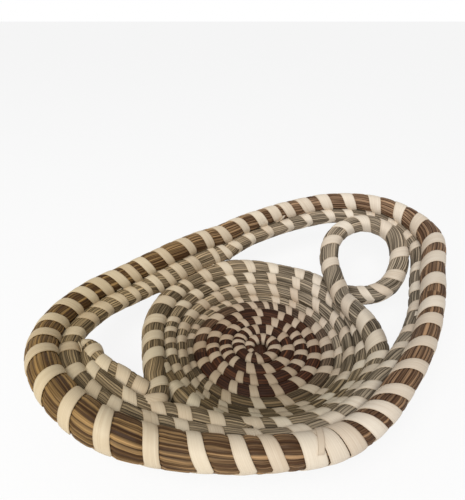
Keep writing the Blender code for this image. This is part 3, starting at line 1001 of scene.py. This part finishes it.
def strip_shape(sewing, lift, narrowing):
    """A palmetto strip wound along a row: up on the right of each stitch, over and down on the left."""
    row = sewing.row
    loops = len(sewing.places) - 1
    steps = loops * strip_steps
    phase = np.arange(steps + 1) / strip_steps
    loop = np.minimum(np.floor(phase).astype(int), loops - 1)
    share = phase - loop
    middle = sewing.middle(loop, share)
    back = way_back(share)
    breadth = sewing.widths[loop] * (1.0 - back) + sewing.widths[loop + 1] * back
    around = math.tau * phase
    off = np.abs(round_off(around, math.tau))
    breadth = breadth * (1.0 - narrowing * np.exp(-(off / narrow_reach) ** 2))
    shifts = np.array(strip_columns)
    places = np.zeros((steps + 1, len(shifts), 3))
    for column, (shift, crown) in enumerate(zip(strip_columns, strip_crown)):
        centre, right, up, radius, bites = row.read(middle + shift * breadth)
        away = right * np.cos(around)[:, None] + up * np.sin(around)[:, None]
        reach = reach_round(around, radius * row.fullness(around) + lift + crown * MM, bites)
        places[:, column] = centre + away * reach[:, None]
    above_floor(places, strip_floor)
    depth = np.repeat(groove_shade_depth(around, row.grooves)[:, None], len(shifts), axis=1)
    return sheet_mesh(places, shifts + 0.5, phase, depth)


def loose_end_shapes():
    """The ends of strips that stick out between the stitches, as one shape."""
    whole = bmesh.new()
    whole.loops.layers.uv.new("fibres")
    whole.verts.layers.float.new("groove")
    share = np.linspace(0.0, 1.0, end_steps)
    shifts = np.array(end_columns)
    for index, (name, place, first, last, moved, breadth, lifted) in enumerate(loose_ends):
        row = rows_of_tray()[name]
        around = np.radians(first + (last - first) * share)
        places = np.zeros((end_steps, len(shifts), 3))
        for column, shift in enumerate(end_columns):
            along = place + moved * share + shift * breadth * (1.0 - end_narrowing * share)
            centre, right, up, radius, _ = row.read(along * MM)
            away = right * np.cos(around)[:, None] + up * np.sin(around)[:, None]
            lift = end_lift + lifted * share ** 2 - end_crown * abs(shift)
            reach = radius * row.fullness(around) + lift * MM
            places[:, column] = centre + away * reach[:, None]
        lengthwise = index + end_map_share * share
        part = sheet_mesh(places, shifts + 0.5, lengthwise, np.zeros(places.shape[:2]))
        mesh = bpy.data.meshes.new("end")
        part.to_mesh(mesh)
        part.free()
        whole.from_mesh(mesh)
        bpy.data.meshes.remove(mesh)
    return whole


def finished_strip(name, shape, nodes=()):
    """Give a strip its thickness as a piece of the tray."""
    piece = finished_piece(name, shape, tray_finishes()["palmetto"], nodes)
    body = piece.modifiers.new("thickness", "SOLIDIFY")
    body.thickness = bpy.context.scene.tray_sizes.strip_thickness
    body.offset = 1.0


def fill(tree, socket, value):
    """Link a socket to another one, or set it to a number or to the three parts of a colour."""
    if isinstance(value, bpy.types.NodeSocket):
        tree.links.new(value, socket)
    elif socket.type == "RGBA":
        socket.default_value = (*value, 1.0)
    else:
        socket.default_value = value


def node(tree, kind, inputs=None, **settings):
    """Add a shader node, set it up and link or fill its inputs."""
    made = tree.nodes.new(kind)
    for name, value in settings.items():
        setattr(made, name, value)
    for name, value in (inputs or {}).items():
        fill(tree, made.inputs[name], value)
    return made


def maths(tree, operation, *values):
    """One maths step between sockets and numbers."""
    made = node(tree, "ShaderNodeMath", dict(enumerate(values)), operation=operation)
    return made.outputs[0]


def times(tree, first, second):
    """The product of two sockets, or of a socket and a number."""
    return maths(tree, "MULTIPLY", first, second)


def spread(tree, value, low, high, new_low=0.0, new_high=1.0):
    """Stretch a value from one range to another."""
    ranges = {"From Min": low, "From Max": high, "To Min": new_low, "To Max": new_high}
    return node(tree, "ShaderNodeMapRange", {"Value": value, **ranges}).outputs["Result"]


def new_look(name):
    """A new material, its node tree and its shader."""
    look = bpy.data.materials.new(name)
    look.use_nodes = True
    return look, look.node_tree, look.node_tree.nodes["Principled BSDF"]


def ramp(tree, value, stops):
    """A colour ramp with colours at given places."""
    made = node(tree, "ShaderNodeValToRGB", {"Fac": value})
    bands = made.color_ramp.elements
    while len(bands) < len(stops):
        bands.new(1.0)
    for band, (place, colour) in zip(bands, stops):
        band.position = place
        band.color = (*colour, 1.0)
    return made.outputs["Color"]


def blend(tree, share, first, second, kind="MIX"):
    """Mix two colours."""
    inputs = {mix_share: share, mix_first: first, mix_second: second}
    made = node(tree, "ShaderNodeMix", inputs, data_type="RGBA", blend_type=kind)
    return made.outputs[mix_result]


def tinted(tree, share, colour, tint):
    """Multiply a colour by a tint, by a share."""
    return blend(tree, share, colour, blend(tree, 1.0, colour, tint, "MULTIPLY"))


def fibre_coordinates(tree):
    """Place across the strands and along them, from the piece's own map."""
    mapped = node(tree, "ShaderNodeUVMap", uv_map="fibres")
    parts = node(tree, "ShaderNodeSeparateXYZ", {"Vector": mapped.outputs["UV"]})
    return parts.outputs["X"], parts.outputs["Y"]


def fibre_noise(tree, across, lengthwise, grain, seed):
    """Noise drawn out along the fibres, from 0 to 1."""
    steps_across, steps_along, detail = grain
    parts = {"X": times(tree, across, steps_across), "Y": times(tree, lengthwise, steps_along), "Z": seed}
    place = node(tree, "ShaderNodeCombineXYZ", parts).outputs["Vector"]
    made = node(tree, "ShaderNodeTexNoise", {"Vector": place, "Scale": 1.0, "Detail": detail})
    return spread(tree, made.outputs["Fac"], *grain_range)


def towards_edge(tree, share, power):
    """0 in the middle of a strand or strip and 1 at both its edges, for a share of the way across."""
    side = maths(tree, "ABSOLUTE", maths(tree, "SUBTRACT", share, 0.5))
    return maths(tree, "POWER", times(tree, side, 2.0), power)


def blade_colours(tree, stops, seed):
    """Blades side by side: a tone for each, streaks along it and creases between for painted shade."""
    across, lengthwise = fibre_coordinates(tree)
    tone = fibre_noise(tree, maths(tree, "FLOOR", across), lengthwise, blade_tone_grain, seed)
    streak = fibre_noise(tree, across, lengthwise, blade_streak_grain, seed + streak_seed)
    mixed = maths(tree, "ADD", times(tree, tone, 1.0 - streak_share), times(tree, streak, streak_share))
    crease = towards_edge(tree, maths(tree, "FRACT", across), crease_power)
    return ramp(tree, mixed, stops), streak, crease


def with_groove_shade(tree, colour, strength):
    """Paint shade into a colour in the grooves between rows."""
    depth = node(tree, "ShaderNodeAttribute", attribute_name="groove").outputs["Fac"]
    return blend(tree, times(tree, depth, strength), colour, groove_shade_colour)


def toned_and_lit(tree, colour, tints_and_light):
    """Change a colour over the tray: towards its left side, its back and the front of its hollow."""
    place = node(tree, "ShaderNodeTexCoord").outputs["Object"]
    parts = node(tree, "ShaderNodeSeparateXYZ", {"Vector": place})
    level = node(tree, "ShaderNodeCombineXYZ", {"X": parts.outputs["X"], "Y": parts.outputs["Y"]})
    length = node(tree, "ShaderNodeVectorMath", {"Vector": level.outputs["Vector"]}, operation="LENGTH")
    away = length.outputs["Value"]
    left = spread(tree, parts.outputs["X"], *left_tone_and_shade_span)
    back = spread(tree, parts.outputs["Y"], *back_light_span)
    front = spread(tree, parts.outputs["Y"], *front_shade_span)
    hollow = times(tree, front, spread(tree, away, *hollow_shade_span))
    # At the left the tint is partly the fibre's own tone and partly painted shade; at the back it is
    # painted light, and at the front of the hollow painted shade.
    for share, tint in zip((left, back, hollow), tints_and_light):
        colour = tinted(tree, share, colour, tint)
    return colour, place, away


def set_relief(tree, shader, height, strength, distance):
    """Raise the fibres in a material by a height."""
    bump = node(tree, "ShaderNodeBump", {"Height": height, "Strength": strength, "Distance": distance})
    tree.links.new(bump.outputs["Normal"], shader.inputs["Normal"])


def blade_look(name, stops, crease_shade_colour, roughness, seed, tints_and_light, darker_stops=None):
    """Finish of a bundle of blades."""
    look, tree, shader = new_look(name)
    colour, streak, crease = blade_colours(tree, stops, seed)
    if darker_stops:
        darker = blade_colours(tree, darker_stops, seed)[0]
        share = node(tree, "ShaderNodeAttribute", attribute_name="dark_share").outputs["Fac"]
        colour = blend(tree, share, colour, darker)
    colour = toned_and_lit(tree, colour, tints_and_light)[0]
    # Painted shade in the creases between blades.
    colour = blend(tree, times(tree, crease, crease_shade_share), colour, crease_shade_colour)
    # Painted shade in the grooves between rows.
    tree.links.new(with_groove_shade(tree, colour, blade_groove_shade), shader.inputs["Base Color"])
    smooth, rough = blade_rough_range
    roughness = spread(tree, streak, 0.0, 1.0, roughness + smooth, roughness + rough)
    tree.links.new(roughness, shader.inputs["Roughness"])
    shader.inputs["Specular IOR Level"].default_value = blade_shine
    height = maths(tree, "SUBTRACT", streak, times(tree, crease, crease_height))
    set_relief(tree, shader, height, blade_relief, blade_relief_height)
    return look


def palmetto_look(name, light, shade, tints_and_light, seed):
    """Finish of the split palmetto leaf: a tone for each stitch, fine fibres along it and darker edges."""
    look, tree, shader = new_look(name)
    across, lengthwise = fibre_coordinates(tree)
    stitch = maths(tree, "ADD", maths(tree, "FLOOR", lengthwise), seed)
    tone = node(tree, "ShaderNodeTexWhiteNoise", {"W": stitch}, noise_dimensions="1D").outputs["Value"]
    fibres = fibre_noise(tree, across, lengthwise, leaf_grain, seed)
    mixed = times(tree, tone, leaf_tone_share)
    mixed = maths(tree, "ADD", mixed, times(tree, fibres, 1.0 - leaf_tone_share))
    colour = ramp(tree, mixed, ((0.0, shade), (leaf_pale_place, light), (1.0, light)))
    colour, place, away = toned_and_lit(tree, colour, tints_and_light)
    # Painted shade on the leaf in the base.
    colour = tinted(tree, spread(tree, away, *base_shade_span), colour, base_shade_tint)
    blots = node(tree, "ShaderNodeTexNoise", {"Vector": place, "Scale": blot_scale, "Detail": blot_detail})
    stained = spread(tree, blots.outputs["Fac"], *blot_range, 0.0, blot_share)
    colour = tinted(tree, stained, colour, blot_tint)
    darker_edges = times(tree, towards_edge(tree, across, edge_dark_power), edge_dark_share)
    colour = tinted(tree, darker_edges, colour, edge_dark_tint)
    # Painted shade in the grooves between rows.
    tree.links.new(with_groove_shade(tree, colour, leaf_groove_shade), shader.inputs["Base Color"])
    tree.links.new(spread(tree, fibres, 0.0, 1.0, *leaf_rough_range), shader.inputs["Roughness"])
    shader.inputs["Specular IOR Level"].default_value = leaf_shine
    set_relief(tree, shader, fibres, leaf_relief, leaf_relief_height)
    return look


class TraySizes(bpy.types.PropertyGroup):
    """Sizes that a user would change."""

    fine_strip: bpy.props.FloatProperty(
        name="Base strip", description="Width of the strips in the base",
        default=5.8 * MM, unit="LENGTH")
    wall_strip: bpy.props.FloatProperty(
        name="Wall strip", description="Width of the strips in the wall",
        default=7.4 * MM, unit="LENGTH")
    edge_strip: bpy.props.FloatProperty(
        name="Edge strip", description="Width of the strips round the edge row",
        default=9.3 * MM, unit="LENGTH")
    rim_strip: bpy.props.FloatProperty(
        name="Rim strip", description="Width of the strips round the inner rim row",
        default=8.8 * MM, unit="LENGTH")
    lacing_strip: bpy.props.FloatProperty(
        name="Lacing", description="Width of the lacing round the outer rim row",
        default=7.7 * MM, unit="LENGTH")
    wrap_strip: bpy.props.FloatProperty(
        name="End wrap", description="Width of the strip in the dense end wrap",
        default=9.9 * MM, unit="LENGTH")
    strip_thickness: bpy.props.FloatProperty(
        name="Strip thickness", description="Thickness of the palmetto strips",
        default=0.45 * MM, unit="LENGTH")


class TrayColours(bpy.types.PropertyGroup):
    """Colours that a user would change."""

    palmetto: bpy.props.FloatVectorProperty(
        name="Palmetto", description="Pale side of the palmetto",
        default=(0.77, 0.68, 0.56), subtype="COLOR")
    palmetto_shade: bpy.props.FloatVectorProperty(
        name="Palmetto shade", description="Darker fibres of the palmetto",
        default=(0.58, 0.46, 0.34), subtype="COLOR")
    sweetgrass: bpy.props.FloatVectorProperty(
        name="Sweetgrass", description="Pale blades of sweetgrass",
        default=(0.52, 0.43, 0.32), subtype="COLOR")
    sweetgrass_shade: bpy.props.FloatVectorProperty(
        name="Sweetgrass shade", description="Dark blades of sweetgrass",
        default=(0.045, 0.032, 0.017), subtype="COLOR")
    bulrush: bpy.props.FloatVectorProperty(
        name="Bulrush", description="Pale side of the bulrush",
        default=(0.41, 0.245, 0.135), subtype="COLOR")
    bulrush_shade: bpy.props.FloatVectorProperty(
        name="Bulrush shade", description="Dark side of the bulrush",
        default=(0.058, 0.023, 0.009), subtype="COLOR")
    needle: bpy.props.FloatVectorProperty(
        name="Pine needle", description="Pine needles",
        default=(0.115, 0.045, 0.022), subtype="COLOR")
    needle_shade: bpy.props.FloatVectorProperty(
        name="Pine needle shade", description="Dark pine needles",
        default=(0.014, 0.005, 0.003), subtype="COLOR")


def rows_of_tray():
    """All rows of the tray, made once."""
    if not made_rows:
        made_rows["base"] = coil_row(0.0, base_end_turn)
        made_rows["wall"] = coil_row(dark_turns, wall_end_turn)
        made_rows["edge"] = edge_row()
        made_rows["short"] = short_row()
        made_rows["inner"] = rim_row(False)
        made_rows["outer"] = rim_row(True)
    return made_rows


def sewing_of(name):
    """The stitches of a row, worked out once. The outer row's lacing stops at its end wrap."""
    if name in made_sewings:
        return made_sewings[name]
    places, lean, strip, cover, seed = sewing_ways[name]
    row = rows_of_tray()["outer" if name == "wrap" else name]
    places = np.array(places) * MM
    if name == "outer":
        after = places > row.along[row.nearest(outer_rim_point(end_wrap_start_angle))]
        places = np.concatenate([places[after], places[~after] + row.length])
    if name == "inner":
        places = np.append(places, places[0] + row.length)
    else:
        places = np.append(places, 2.0 * places[-1] - places[-2])
    shares = [table_value(breadths.get(name, ((0, 1.0),)), place % row.length / MM) for place in places]
    width = getattr(bpy.context.scene.tray_sizes, strip) * np.array(shares)
    made_sewings[name] = Sewing(row, places, lean * MM, width, cover, seed)
    return made_sewings[name]


def tones(table, pale, dark):
    """Colours of a ramp: shares of a dark colour and of a pale one at each place of a table."""
    return [(place, dark * dark_share + pale * pale_share) for place, dark_share, pale_share in table]


def tray_finishes():
    """The finishes of the tray's fibres, made once."""
    if made_looks:
        return made_looks
    colours = bpy.context.scene.tray_colours
    grass_shade, needle_shade = np.array(colours.sweetgrass_shade), np.array(colours.needle_shade)
    rush_shade = np.array(colours.bulrush_shade)
    grass = tones(grass_tones, np.array(colours.sweetgrass), grass_shade)
    needles = tones(needle_tones, np.array(colours.needle), needle_shade)
    rushes = tones(rush_tones, np.array(colours.bulrush), rush_shade)
    grass_crease_shade_colour, needle_crease_shade_colour = grass_shade * grass_crease_shade, needle_shade * needle_crease_shade
    made_looks["grass"] = blade_look(
        "sweetgrass_blades", grass, grass_crease_shade_colour, grass_rough, grass_seed, grass_tints_and_light)
    made_looks["wall"] = blade_look(
        "sweetgrass_with_needles", grass, grass_crease_shade_colour, grass_rough, wall_seed, grass_tints_and_light, needles)
    made_looks["needles"] = blade_look(
        "longleaf_needles", needles, needle_crease_shade_colour, needle_rough, needle_seed, needle_tints_and_light)
    made_looks["rush"] = blade_look(
        "bulrush_stems", rushes, rush_shade * rush_crease_shade, rush_rough, rush_seed, rush_tints_and_light)
    made_looks["palmetto"] = palmetto_look(
        "split_palmetto", colours.palmetto, colours.palmetto_shade, palmetto_tints_and_light, palmetto_seed)
    return made_looks


def knot_shape():
    """The knot at the centre: a ridged button that spreads at its foot."""
    shape = bmesh.new()
    bmesh.ops.create_uvsphere(shape, u_segments=knot_sides, v_segments=knot_rings, radius=1.0)
    for vert in shape.verts:
        turn = math.atan2(vert.co.y, vert.co.x)
        wave = math.sin(knot_ridges * turn + knot_slant * vert.co.z)
        ridge = 1.0 + ridge_share * wave * (1.0 - vert.co.z ** 2)
        flare = 1.0 + foot_spread * smooth_step(0.5 - vert.co.z)
        half = knot_width / 2.0 * ridge * flare
        rise = knot_height * (0.5 - flat_share)
        vert.co = (vert.co.x * half, vert.co.y * half, rise + vert.co.z * knot_height / 2.0)
        vert.co.z = max(vert.co.z, grass_floor)
    fibre_map = shape.loops.layers.uv.new("fibres")
    for face in shape.faces:
        for loop in face.loops:
            loop[fibre_map].uv = (loop.vert.co.x / knot_fibre, loop.vert.co.y / map_length)
    return shape


def make_bundle(name):
    """Make a row's bundle of blades as a piece."""
    row_name, strands, look, slot, node_name, seed = bundles[name]
    sewings = [sewing_of(row_name)]
    if row_name == "outer":
        sewings.append(sewing_of("wrap"))
    ends = row_ends.get(row_name, ())
    shape = bundle_shape(rows_of_tray()[row_name], strands, np.random.default_rng(seed), sewings, ends)
    return finished_piece(name, shape, tray_finishes()[look], [node_name])


def make_strip(name):
    """Make the strip that is wound along a row as a piece."""
    sewing_name, lift, narrowing, nodes = strips[name]
    finished_strip(name, strip_shape(sewing_of(sewing_name), lift * MM, narrowing), nodes)


class SWEETGRASS_OT_base(bpy.types.Operator):
    """Coil the flat base out of pine needles, from its knot"""

    bl_idname = "sweetgrass.base"
    bl_label = "Base coil"

    def execute(self, context):
        make_bundle("base_needles")
        look = tray_finishes()["needles"]
        finished_piece("start_knot_needles", knot_shape(), look, ["start_knot"])
        return {"FINISHED"}


class SWEETGRASS_OT_wall(bpy.types.Operator):
    """Coil the wall of the bowl out of sweetgrass, on from the base"""

    bl_idname = "sweetgrass.wall"
    bl_label = "Wall coil"

    def execute(self, context):
        piece = make_bundle("wall_grass")
        row = rows_of_tray()["wall"]
        turns = coil_turns(dark_turns, wall_end_turn)
        dark = piece.data.attributes.new("dark_share", "FLOAT", "POINT")
        for vert, share in zip(piece.data.vertices, dark.data):
            share.value = table_value(dark_shares, turns[row.nearest(vert.co)])
        return {"FINISHED"}


class SWEETGRASS_OT_edge(bpy.types.Operator):
    """Lay the edge row round the bowl, through its ring and along the rim, and the short row inside it"""

    bl_idname = "sweetgrass.edge"
    bl_label = "Edge row and ring"

    def execute(self, context):
        make_bundle("edge_grass")
        make_bundle("handle_grass")
        return {"FINISHED"}


class SWEETGRASS_OT_rim(bpy.types.Operator):
    """Lay the two rows of the rim, sweetgrass inside and bulrush outside"""

    bl_idname = "sweetgrass.rim"
    bl_label = "Rim rows"

    def execute(self, context):
        make_bundle("inner_rim_grass")
        make_bundle("outer_rim_rushes")
        return {"FINISHED"}


class SWEETGRASS_OT_stitches(bpy.types.Operator):
    """Sew the coil, the edge row, the short row and the inner rim row with palmetto"""

    bl_idname = "sweetgrass.stitches"
    bl_label = "Stitches"

    def execute(self, context):
        for name in strips:
            if name.endswith("stitches"):
                make_strip(name)
        return {"FINISHED"}


class SWEETGRASS_OT_lacing(bpy.types.Operator):
    """Lace the outer rim row with palmetto, wrap its joint densely and leave some ends of strips out"""

    bl_idname = "sweetgrass.lacing"
    bl_label = "Rim lacing"

    def execute(self, context):
        make_strip("rim_lacing_strip")
        make_strip("rim_wrap_strip")
        finished_strip("loose_strip_ends", loose_end_shapes())
        return {"FINISHED"}


def seen_directly(tree):
    """1 where a ray shows the thing to the camera or in a reflection, 0 where it only carries light."""
    seen = node(tree, "ShaderNodeLightPath")
    either = maths(tree, "MAXIMUM", seen.outputs["Is Camera Ray"], seen.outputs["Is Glossy Ray"])
    return maths(tree, "MAXIMUM", either, seen.outputs["Is Transmission Ray"])


def pale_floor():
    """A wide pale floor that shows nearly white and keeps the tray's shadow."""
    shape = bmesh.new()
    bmesh.ops.create_grid(shape, x_segments=2, y_segments=2, size=floor_reach)
    mesh = bpy.data.meshes.new("pale_floor")
    shape.to_mesh(mesh)
    shape.free()
    look, tree, shader = new_look("pale_floor")
    fill(tree, shader.inputs["Base Color"], floor_grey)
    fill(tree, shader.inputs["Roughness"], floor_rough)
    glow = node(tree, "ShaderNodeEmission", {"Color": white, "Strength": 1.0})
    share = times(tree, seen_directly(tree), floor_glow)
    both = node(tree, "ShaderNodeMixShader", {0: share, 1: shader.outputs[0], 2: glow.outputs[0]})
    tree.links.new(both.outputs[0], tree.nodes["Material Output"].inputs["Surface"])
    mesh.materials.append(look)
    floor = bpy.data.objects.new("pale_floor", mesh)
    bpy.context.scene.collection.objects.link(floor)


def window_light():
    """A wide soft lamp above, at the front left."""
    lamp = bpy.data.lights.new("window", "AREA")
    lamp.shape = "DISK"
    lamp.size = lamp_width
    lamp.energy = lamp_power
    window = bpy.data.objects.new("window", lamp)
    window.location = lamp_place
    window.rotation_euler = Vector(lamp_place).to_track_quat("Z", "Y").to_euler()
    bpy.context.scene.collection.objects.link(window)


def pale_sky():
    """An even sky that lights the tray softly and shows as white."""
    sky = bpy.data.worlds.new("pale_sky")
    sky.use_nodes = True
    tree = sky.node_tree
    backdrop = tree.nodes["Background"]
    fill(tree, backdrop.inputs["Color"], white)
    strength = spread(tree, seen_directly(tree), 0.0, 1.0, sky_light, 1.0)
    tree.links.new(strength, backdrop.inputs["Strength"])
    bpy.context.scene.world = sky


def set_camera():
    """The camera, in front of the tray and above it."""
    scene = bpy.context.scene
    view = bpy.data.cameras.new("view")
    view.sensor_fit = "HORIZONTAL"
    view.sensor_width = film_width
    view.lens = lens_in_pixels / picture_width * film_width
    camera = bpy.data.objects.new("view", view)
    camera.location = view_place
    camera.rotation_euler = (math.radians(view_tilt), 0.0, 0.0)
    scene.collection.objects.link(camera)
    scene.camera = camera
    scene.view_settings.view_transform = "Standard"


class SWEETGRASS_OT_stage(bpy.types.Operator):
    """Set the tray on a pale floor in soft light, seen from the front and above"""

    bl_idname = "sweetgrass.stage"
    bl_label = "Floor, light and camera"

    def execute(self, context):
        pale_floor()
        window_light()
        pale_sky()
        set_camera()
        return {"FINISHED"}


class SWEETGRASS_PT_tray(bpy.types.Panel):
    """The tray's steps, in the order in which they are made"""

    bl_idname = "SWEETGRASS_PT_tray"
    bl_label = "Sweetgrass tray"
    bl_space_type = "VIEW_3D"
    bl_region_type = "UI"
    bl_category = "Tray"

    def draw(self, context):
        column = self.layout.column(align=True)
        for step in steps:
            column.operator(step.bl_idname)
        for settings in (context.scene.tray_sizes, context.scene.tray_colours):
            box = self.layout.box()
            for name in settings.bl_rna.properties.keys():
                if name not in {"rna_type", "name"}:
                    box.prop(settings, name)


steps = (
    SWEETGRASS_OT_base,
    SWEETGRASS_OT_wall,
    SWEETGRASS_OT_edge,
    SWEETGRASS_OT_rim,
    SWEETGRASS_OT_stitches,
    SWEETGRASS_OT_lacing,
    SWEETGRASS_OT_stage,
)
classes = (TraySizes, TrayColours) + steps + (SWEETGRASS_PT_tray,)


def register():
    for kind in classes:
        bpy.utils.register_class(kind)
    bpy.types.Scene.tray_sizes = bpy.props.PointerProperty(type=TraySizes)
    bpy.types.Scene.tray_colours = bpy.props.PointerProperty(type=TrayColours)


def unregister():
    del bpy.types.Scene.tray_colours
    del bpy.types.Scene.tray_sizes
    for kind in reversed(classes):
        bpy.utils.unregister_class(kind)


def main():
    """Make the tray and its stage."""
    register()
    bpy.ops.sweetgrass.base()
    bpy.ops.sweetgrass.wall()
    bpy.ops.sweetgrass.edge()
    bpy.ops.sweetgrass.rim()
    bpy.ops.sweetgrass.stitches()
    bpy.ops.sweetgrass.lacing()
    bpy.ops.sweetgrass.stage()


if __name__ == "__main__":
    main()
